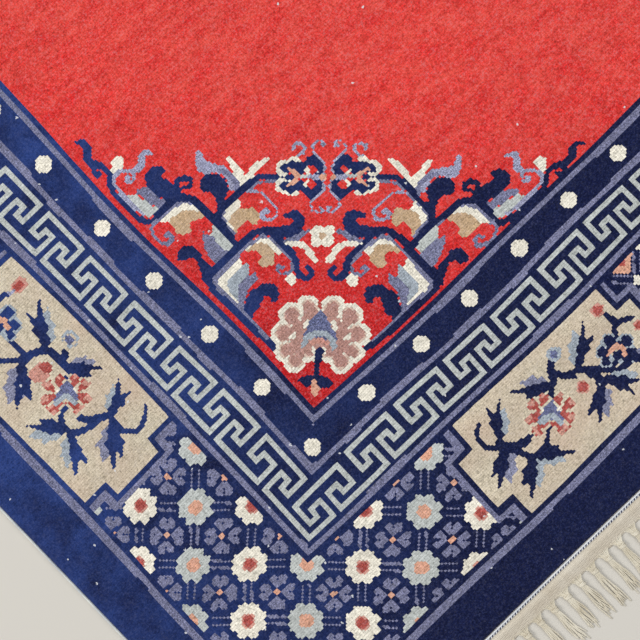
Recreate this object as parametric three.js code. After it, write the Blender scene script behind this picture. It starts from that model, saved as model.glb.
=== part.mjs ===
// A hand-knotted wool rug laid flat: the piled body, an overcast cord along each long side,
// and a flat-woven cotton strip with a knotted fringe at each short end.
// Millimetres, +Z up. X runs across the rug, Y along it, and the floor is z = 0.
import * as THREE from "three";

// Driving dimensions
const WIDTH = 2440; // across the pile, between the two long sides
const LENGTH = 3050; // along the pile, between the two short ends
const THICKNESS = 12; // foundation and pile together
const SHOULDER_DROP = 2.5; // how far the pile falls away at its edge
const SHOULDER_INSET = 4;
const SIDE_DRIFT = 2.2; // how far a long side wanders from straight
const END_DRIFT = 1.8; // the same for a short end
const EDGE_STEP = 61; // spacing of the points along an edge, nearly
const GAP = 0.3; // between neighbouring pieces

const CORD_WIDTH = 5;
const CORD_HEIGHT = 7;
const CORD_BEVEL = 1.6;

const STRIP_WIDTH = 30; // the flat-woven strip at each end
const STRIP_HEIGHT = 3;
const STRANDS = 100; // knotted bunches of warp at each end
const STRAND_LENGTH = 76;
const STRAND_SPREAD = 9; // how much the lengths differ
const STRAND_LEAN = 4; // how far a tip lies to one side

// One row for each section of a strand: how far along it, its width and its height
const STRAND_SECTIONS = [
  { along: 0, width: 8, height: 3 },
  { along: 0.1, width: 11, height: 7 },
  { along: 0.2, width: 7, height: 4.5 },
  { along: 0.6, width: 10, height: 4 },
  { along: 1, width: 7, height: 2 },
];

const COLOURS = {
  pile: 0x27306b,
  cord: 0xc9c8c2,
  cotton: 0xd9cfba,
};

// A gentle wander of an edge, from -1 to 1, where t runs from 0 to 1 along it
function wander(t, phase) {
  const slow = Math.sin(2 * Math.PI * 1.3 * t + phase);
  const quick = Math.sin(2 * Math.PI * 3.7 * t + 2.1 * phase);
  return 0.7 * slow + 0.3 * quick;
}

// A repeatable number from 0 to 1 for piece i and purpose k
function scatter(i, k) {
  const value = Math.sin(i * 12.9898 + k * 78.233) * 43758.5453;
  return value - Math.floor(value);
}

// The long side at height y: sign is -1 on the left and 1 on the right
function sideX(y, sign) {
  return sign * (WIDTH / 2 + SIDE_DRIFT * wander(y / LENGTH + 0.5, 1 + sign));
}

// The short end at x: sign is -1 at the front and 1 at the back
function endY(x, sign) {
  return sign * (LENGTH / 2 + END_DRIFT * wander(x / WIDTH + 0.5, 4 + sign));
}

function steps(from, to) {
  const count = Math.round(Math.abs(to - from) / EDGE_STEP);
  return Array.from({ length: count + 1 }, (_, i) => from + ((to - from) * i) / count);
}

// Where a long side and a short end meet
function corner(sideSign, endSign) {
  const x = sideX((endSign * LENGTH) / 2, sideSign);
  return new THREE.Vector2(x, endY(x, endSign));
}

// The rug's outline, anticlockwise from the front left corner, moved in by inset
function bodyOutline(inset) {
  const across = steps(-WIDTH / 2, WIDTH / 2).slice(1, -1);
  const along = steps(-LENGTH / 2, LENGTH / 2).slice(1, -1);
  const pull = (point, dx, dy) => point.add(new THREE.Vector2(dx * inset, dy * inset));
  return [
    pull(corner(-1, -1), 1, 1),
    ...across.map((x) => new THREE.Vector2(x, endY(x, -1) + inset)),
    pull(corner(1, -1), -1, 1),
    ...along.map((y) => new THREE.Vector2(sideX(y, 1) - inset, y)),
    pull(corner(1, 1), -1, -1),
    ...across.map((x) => new THREE.Vector2(x, endY(x, 1) - inset)).reverse(),
    pull(corner(-1, 1), 1, -1),
    ...along.map((y) => new THREE.Vector2(sideX(y, -1) + inset, y)).reverse(),
  ];
}

// A closed solid from rings of equal length, each an outline at a height, bottom ring first
function ringSolid(rings) {
  const count = rings[0].outline.length;
  const positions = rings.flatMap(({ outline, z }) => outline.flatMap((p) => [p.x, p.y, z]));
  const faces = [];
  for (let r = 0; r + 1 < rings.length; r += 1) {
    for (let i = 0; i < count; i += 1) {
      const j = (i + 1) % count;
      const low = r * count;
      const high = low + count;
      faces.push(low + i, low + j, high + j, low + i, high + j, high + i);
    }
  }
  const last = (rings.length - 1) * count;
  const bottom = THREE.ShapeUtils.triangulateShape(rings[0].outline, []);
  const top = THREE.ShapeUtils.triangulateShape(rings[rings.length - 1].outline, []);
  bottom.forEach(([a, b, c]) => faces.push(a, c, b));
  top.forEach(([a, b, c]) => faces.push(last + a, last + b, last + c));
  return new THREE.BufferGeometry()
    .setAttribute("position", new THREE.Float32BufferAttribute(positions, 3))
    .setIndex(faces);
}

function rugBody() {
  return ringSolid([
    { outline: bodyOutline(0), z: 0 },
    { outline: bodyOutline(0), z: THICKNESS - SHOULDER_DROP },
    { outline: bodyOutline(SHOULDER_INSET), z: THICKNESS },
  ]);
}

// The overcast cord on one long side: a strip that follows the side, with its top edges eased
function selvedge(sign) {
  const along = steps(-LENGTH / 2, LENGTH / 2);
  const outline = (inset) => {
    const near = along.map((y) => new THREE.Vector2(sideX(y, sign) + sign * (GAP + inset), y));
    const far = along.map(
      (y) => new THREE.Vector2(sideX(y, sign) + sign * (GAP + CORD_WIDTH - inset), y),
    );
    return sign > 0 ? [...far, ...near.reverse()] : [...near, ...far.reverse()];
  };
  return ringSolid([
    { outline: outline(0), z: 0 },
    { outline: outline(0), z: CORD_HEIGHT - CORD_BEVEL },
    { outline: outline(CORD_BEVEL), z: CORD_HEIGHT },
  ]);
}

// One strand's edge points, going out along one side of it and back along the other
function strandPoints(index, endSign) {
  const x = -WIDTH / 2 + ((index + 0.5) * WIDTH) / STRANDS;
  const length = STRAND_LENGTH - STRAND_SPREAD * scatter(index, 3 + endSign);
  const lean = STRAND_LEAN * (2 * scatter(index, 7 + endSign) - 1);
  const root = endY(x, endSign) * endSign + GAP + STRIP_WIDTH;
  const at = (row, side) => {
    const px = x + lean * row.along ** 2 + (side * row.width) / 2;
    const point = new THREE.Vector2(px, endSign * (root + length * row.along));
    point.top = row.height;
    return point;
  };
  const out = STRAND_SECTIONS.map((row) => at(row, -1));
  const back = STRAND_SECTIONS.map((row) => at(row, 1)).reverse();
  return [...out, ...back];
}

// The cotton strip with its strands: one flat comb, its top raised or lowered point by point
function fringe(endSign) {
  const inner = steps(-WIDTH / 2, WIDTH / 2).map((x) => {
    const point = new THREE.Vector2(x, endY(x, endSign) + endSign * GAP);
    point.top = STRIP_HEIGHT;
    return point;
  });
  const ends = [-1, 1].map((side) => {
    const x = (side * WIDTH) / 2;
    const point = new THREE.Vector2(x, endY(x, endSign) + endSign * (GAP + STRIP_WIDTH));
    point.top = STRIP_HEIGHT;
    return point;
  });
  const strands = Array.from({ length: STRANDS }, (_, i) => strandPoints(i, endSign)).flat();
  const ring = [ends[0], ...strands, ends[1], ...inner.reverse()];
  const outline = endSign < 0 ? ring : ring.reverse();
  const comb = new THREE.ExtrudeGeometry(new THREE.Shape(outline), {
    depth: STRIP_HEIGHT,
    bevelEnabled: false,
  });
  const heights = new Map(outline.map((p) => [key(p.x, p.y), p.top]));
  const position = comb.getAttribute("position");
  for (let i = 0; i < position.count; i += 1) {
    if (position.getZ(i) > 0) {
      position.setZ(i, heights.get(key(position.getX(i), position.getY(i))));
    }
  }
  return comb;
}

function key(x, y) {
  return `${Math.fround(x)} ${Math.fround(y)}`;
}

function piece(name, geometry, colour, roughness) {
  const material = new THREE.MeshStandardMaterial({ color: colour, roughness, metalness: 0 });
  const mesh = new THREE.Mesh(geometry, material);
  mesh.name = name;
  return mesh;
}

const rug = new THREE.Group();
rug.add(piece("rug_body", rugBody(), COLOURS.pile, 0.95));
rug.add(piece("selvedge_left", selvedge(-1), COLOURS.cord, 0.9));
rug.add(piece("selvedge_right", selvedge(1), COLOURS.cord, 0.9));
rug.add(piece("fringe_front", fringe(-1), COLOURS.cotton, 0.9));
rug.add(piece("fringe_back", fringe(1), COLOURS.cotton, 0.9));

export default rug;
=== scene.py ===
"""A hand-knotted wool rug, laid flat: its looks in Blender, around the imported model."""
import math

import bpy
import numpy as np
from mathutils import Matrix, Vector


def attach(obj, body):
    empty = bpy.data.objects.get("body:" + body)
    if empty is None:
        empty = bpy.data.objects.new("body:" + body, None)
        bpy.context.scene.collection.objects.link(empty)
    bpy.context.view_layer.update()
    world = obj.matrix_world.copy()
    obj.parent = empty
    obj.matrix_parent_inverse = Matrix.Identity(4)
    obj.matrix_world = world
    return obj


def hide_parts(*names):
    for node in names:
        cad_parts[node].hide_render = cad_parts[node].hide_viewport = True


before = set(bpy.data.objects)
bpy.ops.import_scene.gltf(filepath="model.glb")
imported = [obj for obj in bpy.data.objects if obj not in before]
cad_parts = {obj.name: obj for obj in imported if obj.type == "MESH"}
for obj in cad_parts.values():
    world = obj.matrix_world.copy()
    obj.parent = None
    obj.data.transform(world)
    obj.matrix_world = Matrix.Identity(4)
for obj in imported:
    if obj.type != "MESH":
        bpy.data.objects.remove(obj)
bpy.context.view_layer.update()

# The rug, in metres, as the CAD has it
WIDTH = 2.44
LENGTH = 3.05
THICKNESS = 0.012
SHOULDER_HEIGHT = 0.0095
SIDE_DRIFT = 0.0022
END_DRIFT = 0.0018
GAP = 0.0003
CORD_WIDTH = 0.005
CORD_HEIGHT = 0.007
STRIP_WIDTH = 0.03
STRIP_HEIGHT = 0.003
STRANDS = 100
STRAND_LENGTH = 0.076
STRAND_SPREAD = 0.009
STRAND_LEAN = 0.004

# The camera: straight over the corner of the field, as high as a person holds it
AIM = (-0.7511, -1.0744)
CAMERA_HEIGHT = 1.35
FRAME_WIDTH = 0.834
CAMERA_TURN = math.radians(-43.9)
SENSOR = 36.0

rng = np.random.default_rng(7)


def wander(t, phase):
    """A gentle wander of an edge, from -1 to 1, where t runs from 0 to 1 along it."""
    slow = np.sin(2 * np.pi * 1.3 * t + phase)
    quick = np.sin(2 * np.pi * 3.7 * t + 2.1 * phase)
    return 0.7 * slow + 0.3 * quick


def scatter(i, k):
    """A repeatable number from 0 to 1 for piece i and purpose k."""
    return (np.sin(i * 12.9898 + k * 78.233) * 43758.5453) % 1.0


def side_x(y, sign):
    return sign * (WIDTH / 2 + SIDE_DRIFT * wander(y / LENGTH + 0.5, 1 + sign))


def end_y(x, sign):
    return sign * (LENGTH / 2 + END_DRIFT * wander(x / WIDTH + 0.5, 4 + sign))


def into_scene(name, data):
    thing = bpy.data.objects.new(name, data)
    bpy.context.scene.collection.objects.link(thing)
    return thing


def make_camera():
    data = bpy.data.cameras.new("camera")
    data.sensor_width = SENSOR
    data.lens = SENSOR * (CAMERA_HEIGHT - THICKNESS) / FRAME_WIDTH
    data.clip_end = 50
    camera = into_scene("camera", data)
    camera.location = (*AIM, CAMERA_HEIGHT)
    camera.rotation_euler = (0, 0, CAMERA_TURN)
    bpy.context.scene.camera = camera


def linear(colour):
    """sRGB from 0 to 255 to linear."""
    c = np.asarray(colour, float) / 255
    return np.where(c <= 0.04045, c / 12.92, ((c + 0.055) / 1.055) ** 2.4)


def paint(colour):
    """The same for a socket."""
    return (*linear(colour), 1)


class Nodes:
    """A small helper that adds nodes to a material and links them."""

    def __init__(self, name):
        self.material = bpy.data.materials.new(name)
        self.material.use_nodes = True
        self.tree = self.material.node_tree
        self.shader = self.tree.nodes["Principled BSDF"]
        self.place = self.add("ShaderNodeTexCoord").outputs["Object"]

    def add(self, kind, settings=None, **inputs):
        node = self.tree.nodes.new(kind)
        for key, value in (settings or {}).items():
            setattr(node, key, value)
        for key, value in inputs.items():
            self.feed(node, key.replace("_", " "), value)
        return node

    def feed(self, node, name, value):
        socket = node.inputs[name]
        if isinstance(value, bpy.types.NodeSocket):
            self.tree.links.new(value, socket)
        else:
            socket.default_value = value

    def operate(self, kind, operation, *values):
        node = self.add(kind, {"operation": operation})
        for k, value in enumerate(values):
            self.feed(node, k, value)
        return node.outputs

    def math(self, operation, *values):
        return self.operate("ShaderNodeMath", operation, *values)[0]

    def product(self, first, *others):
        for other in others:
            first = self.math("MULTIPLY", first, other)
        return first

    def vector(self, operation, *values):
        outputs = self.operate("ShaderNodeVectorMath", operation, *values)
        return outputs["Value" if operation in ("DOT_PRODUCT", "LENGTH") else "Vector"]

    def times(self, vector, sizes):
        return self.vector("MULTIPLY", vector, sizes)

    def split(self, vector):
        return self.add("ShaderNodeSeparateXYZ", Vector=vector).outputs

    def noise(self, vector, scale, detail=2.0, rough=0.5):
        node = self.add("ShaderNodeTexNoise", Scale=scale, Detail=detail, Roughness=rough, Vector=vector)
        return node.outputs["Fac"]

    def span(self, value, low, high, to_low=0.0, to_high=1.0):
        """The value's way from low to high, turned into a way from to_low to to_high."""
        ends = {"From_Min": low, "From_Max": high, "To_Min": to_low, "To_Max": to_high}
        return self.add("ShaderNodeMapRange", Value=value, **ends).outputs[0]

    def mix(self, factor, a, b, blend="MIX"):
        node = self.add("ShaderNodeMix", {"data_type": "RGBA", "blend_type": blend})
        for socket, value in ((0, factor), (6, a), (7, b)):
            self.feed(node, socket, value)
        return node.outputs[2]

    def multiply(self, colour, shade):
        return self.mix(1.0, colour, shade, "MULTIPLY")

    def bump(self, height, strength, distance):
        node = self.add("ShaderNodeBump", Strength=strength, Distance=distance, Height=height)
        self.feed(self.shader, "Normal", node.outputs[0])

    def surface(self, colour, rough, shine, sheen=0.0):
        self.feed(self.shader, "Base Color", colour)
        self.shader.inputs["Roughness"].default_value = rough
        self.shader.inputs["Specular IOR Level"].default_value = shine
        self.shader.inputs["Sheen Weight"].default_value = sheen


def new_mesh(name, vertices, faces, materials):
    mesh = bpy.data.meshes.new(name)
    mesh.from_pydata([tuple(v) for v in vertices], [], [tuple(f) for f in faces])
    for material in materials:
        mesh.materials.append(material)
    return mesh


def new_piece(name, vertices, faces, materials):
    mesh = new_mesh(name, vertices, faces, materials)
    mesh.update()
    mesh.shade_smooth()
    piece = into_scene(name, mesh)
    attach(piece, "root")
    return piece


ACROSS = 712  # knots from side to side
ALONG = 926  # knots from end to end
BORDER = 112  # knots from the edge in to the red field
UNIT_ACROSS = 1.0112  # a knot's width and height, in steps of the chart below
UNIT_ALONG = 0.9719

DYES = {
    "navy": (10, 18, 58),
    "slate": (119, 121, 152),
    "fret": (192, 197, 194),
    "cream": (211, 199, 176),
    "ivory": (240, 234, 218),
    "milk": (222, 212, 188),
    "red": (216, 28, 32),
    "tan": (196, 166, 130),
    "rose": (176, 82, 74),
    "pink": (210, 148, 134),
    "dusty": (184, 138, 128),
    "blush": (220, 192, 176),
    "indigo": (102, 108, 146),
    "mist": (164, 174, 184),
    "peach": (224, 166, 140),
    "lilac": (156, 158, 186),
    "haze": (134, 136, 162),
}
INDEX = {name: i for i, name in enumerate(DYES)}

# Stripes and bands of the border, counted in knots outwards from the red field
STRIPES = ((2.0, 4.4), (15.6, 18.1), (37.7, 40.1), (90.0, 92.8))
STRIPE_WAVER = 0.45
END_SHIFT = 40  # by which the wavering on an end differs from a side's
FRET_OUTER = 36
FRET_PITCH = 25
MAIN_BAND = (42, 88)


class Chart:
    """A weaver's chart: one dye for each knot. Knot (0, 0) is the first of the red field."""

    def __init__(self):
        self.knots = np.full((ALONG // 2, ACROSS // 2), INDEX["red"], np.uint8)
        self.clip = None

    def fill(self, low, high, test, dye):
        """Dyes the knots in a box whose middles pass a test, and the clip's too where there is one."""
        size = self.knots.shape[::-1]
        first = np.clip(np.floor(np.add(low, BORDER)).astype(int), 0, size)
        last = np.clip(np.ceil(np.add(high, BORDER)).astype(int), first, size)
        x, y = (np.arange(a, b) + 0.5 - BORDER for a, b in zip(first, last))
        y = y[:, None]
        inside = test(x, y)
        if self.clip is not None:
            inside = inside & self.clip(x, y)
        self.knots[first[1] : last[1], first[0] : last[0]][inside] = INDEX[dye]

    def box(self, x0, y0, x1, y1, dye):
        self.fill((x0, y0), (x1, y1), lambda x, y: (x > x0) & (x < x1) & (y > y0) & (y < y1), dye)

    def disc(self, centre, wide, dye, tall=None):
        tall = tall or wide

        def inside(x, y):
            return ((x - centre[0]) / wide) ** 2 + ((y - centre[1]) / tall) ** 2 <= 1

        self.fill(np.subtract(centre, (wide, tall)), np.add(centre, (wide, tall)), inside, dye)

    def stroke(self, path, girth, dye):
        """A yarn-wide line along a path, its width going evenly through the girths given."""
        widths = np.interp(np.linspace(0, 1, len(path)), np.linspace(0, 1, len(girth)), girth)

        def near(x, y):
            away = np.hypot(x[..., None] - path[:, 0], y[..., None] - path[:, 1]) - widths / 2
            return away.min(-1) <= 0

        self.fill(path.min(0) - max(girth), path.max(0) + max(girth), near, dye)

    def patch(self, corners, dye):
        """A filled outline."""

        def within(x, y):
            inside = np.zeros(np.broadcast(x, y).shape, bool)
            for (ax, ay), (bx, by) in zip(corners, np.roll(corners, -1, 0)):
                if ay != by:
                    cross = ax + (y - ay) * (bx - ax) / (by - ay)
                    inside ^= ((ay > y) != (by > y)) & (x < cross)
            return inside

        self.fill(corners.min(0) - 1, corners.max(0) + 1, within, dye)


def smooth(points, closed=False):
    """A curve through the points, about two steps for each knot of its length."""
    points = np.array(points, float)
    count = len(points)
    if count < 3 and not closed:
        steps = max(2, int(2 * np.hypot(*(points[1] - points[0]))))
        return points[0] + (points[1] - points[0]) * np.linspace(0, 1, steps)[:, None]
    if closed:
        around = np.concatenate([points[-1:], points, points[:2]])
        spans = count
    else:
        first = 2 * points[:1] - points[1:2]
        last = 2 * points[-1:] - points[-2:-1]
        around = np.concatenate([first, points, last])
        spans = count - 1
    curve = []
    for a, b, c, d in zip(around, around[1:], around[2:], around[3 : 3 + spans]):
        steps = max(2, int(2 * np.hypot(*(c - b))))
        t = np.linspace(0, 1, steps, endpoint=False)[:, None]
        bend = (2 * a - 5 * b + 4 * c - d) * t**2 + (3 * b - a - 3 * c + d) * t**3
        curve.append(0.5 * (2 * b + (c - a) * t + bend))
    if not closed:
        curve.append(points[-1:])
    return np.concatenate(curve)


# A leaf's toothed edge and its wing's: how far along the leaf, and how far out
BLADE = ((0, 0.25), (0.22, 0.74), (0.3, 0.5), (0.5, 1.08), (0.58, 0.76))
WING = ((0.02, 0), (0.24, 1.25), (0.32, 1), (0.54, 1.7), (0.62, 1.3), (0.98, 1.4), (0.84, 0.8), (0.8, 0))


class Hand:
    """Draws on a chart in the steps of one motif, which may be turned or mirrored."""

    def __init__(self, chart, origin=(0, 0), right=(1, 0), up=(0, 1)):
        self.chart = chart
        self.origin = np.array(origin, float)
        self.axes = np.array([right, up], float)

    def at(self, points):
        return (self.origin + np.array(points, float) @ self.axes) / (UNIT_ACROSS, UNIT_ALONG)

    def line(self, points, dye, *girths):
        """A line through the points, whose width goes from one girth to the next."""
        self.chart.stroke(smooth(self.at(points)), girths, dye)

    def stem(self, points, *girths):
        self.line(points, "navy", *girths)

    def shape(self, points, dye, rounded=False):
        corners = self.at(points)
        self.chart.patch(smooth(corners, closed=True) if rounded else corners, dye)

    def spot(self, centre, radius, dye, tall=None):
        self.chart.disc(self.at(centre), radius, dye, tall)

    def pair(self, x, y, radius, dye, tall=None):
        """Two spots, mirrored."""
        for side in (-1, 1):
            self.spot((side * x, y), radius, dye, tall)

    def leaf(self, base, tips, girth, shade, shift):
        """A leaf that forks into two tips, and a paler wing along the side that shift points to."""
        base, tips = np.array(base, float), np.array(tips, float)
        axis = tips.mean(0) - base
        side = np.array([-axis[1], axis[0]]) / np.hypot(*axis) * girth / 2
        if (tips[0] - tips[1]) @ side < 0:
            tips = tips[::-1]
        outline = [base + axis * along + side * out for along, out in BLADE]
        outline += [tips[0] + side * 0.12, tips[0] - side * 0.12, base + axis * 0.7]
        outline += [tips[1] + side * 0.12, tips[1] - side * 0.12]
        outline += [base + axis * along - side * out for along, out in BLADE[::-1]]
        back = (np.array(shift) @ axis) / (axis @ axis)
        beside = shift - axis * back
        wing = [base + axis * (1 + 0.8 * back) * along + beside * out for along, out in WING]
        self.shape(wing, shade)
        self.shape(outline, "navy")


def fret(chart):
    """One unbroken line turns back and forth all the way round, two knots wide."""
    depth = {"out": 1 - FRET_OUTER, "low": 10 - FRET_OUTER, "high": 6 - FRET_OUTER, "in": 15 - FRET_OUTER}
    turns = (
        (1, "out"), (22, "out"), (22, "low"), (18, "low"), (18, "high"), (14, "high"), (14, "in"),
        (34, "in"), (34, "high"), (30, "high"), (30, "low"), (26, "low"),
    )

    def run(points):
        for (ax, ay), (bx, by) in zip(points, points[1:]):
            chart.box(min(ax, bx) - 1, min(ay, by) - 1, max(ax, bx) + 1, max(ay, by) + 1, "fret")

    def column(start, flip):
        points = []
        for unit in range(start, ALONG // 2 - BORDER, FRET_PITCH):
            for t, d in turns:
                point = (depth[d], unit + t)
                points.append(point[::-1] if flip else point)
        return points

    side = column(-4, False)
    end = column(9, True)
    side[0] = (depth["out"], -5)
    corner = (
        (-35, -5), (-26, -5), (-26, 1), (-30, 1), (-30, 5), (-21, 5), (-21, -17), (-30, -17),
        (-30, -13), (-26, -13), (-26, -9), (-35, -9), (-35, -35), (-22, -35), (-22, -27), (-27, -27),
        (-27, -31), (-31, -31), (-31, -22), (-8, -22), (-8, -31), (-13, -31), (-13, -27), (-18, -27),
        (-18, -35), (6, -35), (6, -26), (2, -26), (2, -30), (-2, -30), (-2, -21), (18, -21),
        (18, -30), (14, -30), (14, -26), (10, -26), (10, -35),
    )
    for points in (side, end, corner):
        run(points)


PEARL = 3.4
PEARL_DEPTH = 9.5
CORNER_PEARL = 10.5
SIDE_PEARLS = (20.5, 50.5, 80.5, 110.5, 145.5)
SIDE_PITCH = 29.4
END_PEARL = 18.5
END_PITCH = 26.5


def pearls(chart):
    side = [*SIDE_PEARLS, *(SIDE_PEARLS[-1] + SIDE_PITCH * k for k in range(1, 8))]
    end = [END_PEARL + END_PITCH * k for k in range(9)]
    spots = [(-CORNER_PEARL, -CORNER_PEARL)]
    spots += [(-PEARL_DEPTH, np.floor(y) + 0.5) for y in side]
    spots += [(np.floor(x) + 0.5, -PEARL_DEPTH) for x in end]
    for spot in spots:
        chart.disc(spot, PEARL, "ivory")


def stripes(chart):
    """Narrow stripes on navy all round, whose edges waver by a knot here and there."""
    whole = (-BORDER, -BORDER), (ACROSS, ALONG)
    chart.fill(*whole, lambda x, y: np.maximum(-x, -y) > 0, "navy")
    for near, far in STRIPES:

        def stripe(x, y):
            along = np.where(-x > -y, y, x + END_SHIFT)
            drift = STRIPE_WAVER * np.sin(0.11 * along + near) * np.sin(0.037 * along + 2 * near)
            out = np.maximum(-x, -y) - drift
            return (out > near) & (out < far)

        chart.fill(*whole, stripe, "slate")


LATTICE = 15.5  # from a blossom to the next rosette
LATTICE_START = (-43, 21)
CHAIN_APART = 2.7
CHAIN_GIRTH = 0.92


def blossom(hand, x, y, body, heart):
    """Eight petals with dark notches between them."""
    spot = hand.spot
    spot((x, y), 5.9, body, 5.7)
    for k in range(8):
        turn = np.pi / 8 + k * np.pi / 4
        spot((x + 5.1 * np.cos(turn), y + 4.9 * np.sin(turn)), 2.1, body)
    for k in range(8):
        turn = k * np.pi / 4
        reach = 6.9 if k % 2 else 6.6
        spot((x + reach * np.cos(turn), y + reach * np.sin(turn)), 0.9, "navy")
    spot((x, y), 2.8, "peach" if heart == "peach" else "pink")
    if heart == "rose":
        spot((x, y), 2.1, heart)


def rosette(hand, x, y):
    """Four three-lobed petals between the arms of a cross."""
    stem, spot = hand.stem, hand.spot
    for sx in (-1, 1):
        for sy in (-1, 1):
            spot((x + 2.5 * sx, y + 4.3 * sy), 2, "slate", 1.9)
            spot((x + 4.5 * sx, y + 2.4 * sy), 2.1, "slate", 1.9)
            spot((x + 2.5 * sx, y + 2.5 * sy), 1.7, "slate")
            stem([(x + 3.2 * sx, y + 3.2 * sy), (x + 4.8 * sx, y + 4.8 * sy)], 0.8)
    stem([(x - 6.4, y), (x + 6.4, y)], 1)
    stem([(x, y - 6), (x, y + 6)], 1)
    spot((x, y), 1.2, "peach")


def chain(hand, start, end):
    """Two fine dotted lines side by side."""
    start, end = np.array(start, float), np.array(end, float)
    way = (end - start) / np.hypot(*(end - start))
    side = np.array([-way[1], way[0]]) * CHAIN_APART / 2
    for s in (-1, 1):
        hand.line([start + s * side, end + s * side], "slate", CHAIN_GIRTH)


def lattice(hand, columns, rows):
    """Blossoms and rosettes by turns, with chains from blossom to blossom."""
    for n in columns:
        for m in rows:
            x, y = LATTICE_START[0] + LATTICE * n, LATTICE_START[1] - LATTICE * m
            if (n + m) % 2:
                rosette(hand, x, y)
                continue
            pale = (n + m) % 4 == 0
            for sx in (-1, 1):
                chain(hand, (x + 5.6 * sx, y - 5.4), (x + 9.9 * sx, y - 9.7))
            blossom(hand, x, y, "fret" if pale else "ivory", "peach" if pale else "rose")


DIAPER = 9.4  # from a white square to the next pink diamond


def diaper(hand, cx, cy, columns, rows):
    """Chains that cross at white squares, with a pink diamond in each cell."""
    shape = hand.shape
    places = [(a, b, cx + DIAPER * a, cy + DIAPER * b) for a in columns for b in rows]
    for a, b, x, y in places:
        if (a + b) % 2:
            shape(diamond(x, y, 6.2, 5.8), "peach")
            shape(diamond(x, y, 2.2, 2.8), "rose")
    for a, b, x, y in places:
        if (a + b) % 2 == 0:
            for sx in (-1, 1):
                for sy in (-1, 1):
                    near, far = 2, DIAPER - 2
                    chain(hand, (x + near * sx, y + near * sy), (x + far * sx, y + far * sy))
            shape(diamond(x, y, 2.4, 2.4), "ivory")


def diamond(x, y, wide, tall):
    return [(x - wide, y), (x, y - tall), (x + wide, y), (x, y + tall)]


# The diagonal that the flowers and the field's corner are drawn along
RIGHT = np.array([0.725, -0.6985])
UP = np.array([0.7026, 0.7025])


def upright(hand, x, y):
    """A hand for a flower of a branch, which stands along the diagonal."""
    return Hand(hand.chart, hand.origin + (x, y), RIGHT, UP)


def peony(hand):
    """Paired red petals round a two-coloured heart."""
    line, pair = hand.line, hand.pair
    rows = ((2.9, 5.5, 1.8), (6.5, 3, 2.3), (7.1, -2.4, 2.3), (5.3, -5.5, 2.1), (4.2, -7.3, 1.5))
    joins = ((3.2, 3.8, 1.2), (5.6, 0.9, 1.5), (5.2, -0.9, 1.4), (3, -5, 1.1))
    for grow, dye in ((1, "milk"), (0, "rose")):
        for dx, dy, r in rows + joins:
            pair(dx, dy, r + grow, dye)
    for dx, dy, r in rows:
        pair(dx * 1.12, dy * 1.06 + 0.5, r * 0.56, "pink")
    for dx, dy, r in ((8.3, 3.4, 0.9), (8.8, -2.6, 0.9), (4.2, -8.2, 0.8)):
        pair(dx, dy, r, "pink")
    for side in (-1, 1):
        line([(side * 9.4, 0.4), (side * 6.2, 0.2)], "milk", 1.5)
        line([(side * 5.6, 5.6), (side * 4.3, 3.2)], "milk", 1.3)
        line([(side * 7, -4.9), (side * 5, -3.6)], "milk", 1.2)
    line([(-3.4, -5.2), (0, -4), (3.4, -5.2)], "rose", 1.3)
    hand.shape([(0, 5.2), (-2.9, 1.2), (-4.9, -2.6), (-3.4, -3.9), (0, -2.6), (3.4, -3.9), (4.9, -2.6),
        (2.9, 1.2)], "indigo")
    line([(-3.6, -3.8), (-1.6, -2), (0, -1.2), (1.6, -2), (3.6, -3.8)], "mist", 2.3)
    pair(3.3, 1.1, 0.8, "ivory")
    hand.spot((0, -5.7), 0.8, "navy")
    hand.spot((0, 6.2), 0.8, "navy")


def bud(hand, x, y, wide=2.9, tall=2.9):
    hand.spot((x, y), wide, "pink", tall)
    hand.spot((x, y), wide * 0.66, "rose", tall * 0.66)


def ring_flower(hand):
    """Six dark petals round a peach crescent."""
    spot = hand.spot
    petals = ((3.5, 3.8, 2.3), (5.8, -0.7, 2.1), (3.6, -4, 2.1))
    for grow, dye in ((0.9, "mist"), (0, "navy")):
        for dx, dy, r in petals:
            hand.pair(dx, dy, r + grow, dye)
    hand.stem([(-4.6, -2.6), (-3.2, 0.6), (0, 3.2), (3.2, 0.6), (4.6, -2.6)], 1.8)
    hand.line([(-3.8, -2.2), (-2.2, 0.3), (0, 1.5), (2.2, 0.3), (3.8, -2.2)], "peach", 1.2, 2.2, 2.8,
        2.2, 1.2)
    spot((0, -1.8), 2.1, "navy", 1.7)
    hand.pair(1.6, -4.1, 1.3, "mist")
    spot((0, 4.6), 1, "mist")
    spot((0, -4.6), 0.8, "navy")


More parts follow.
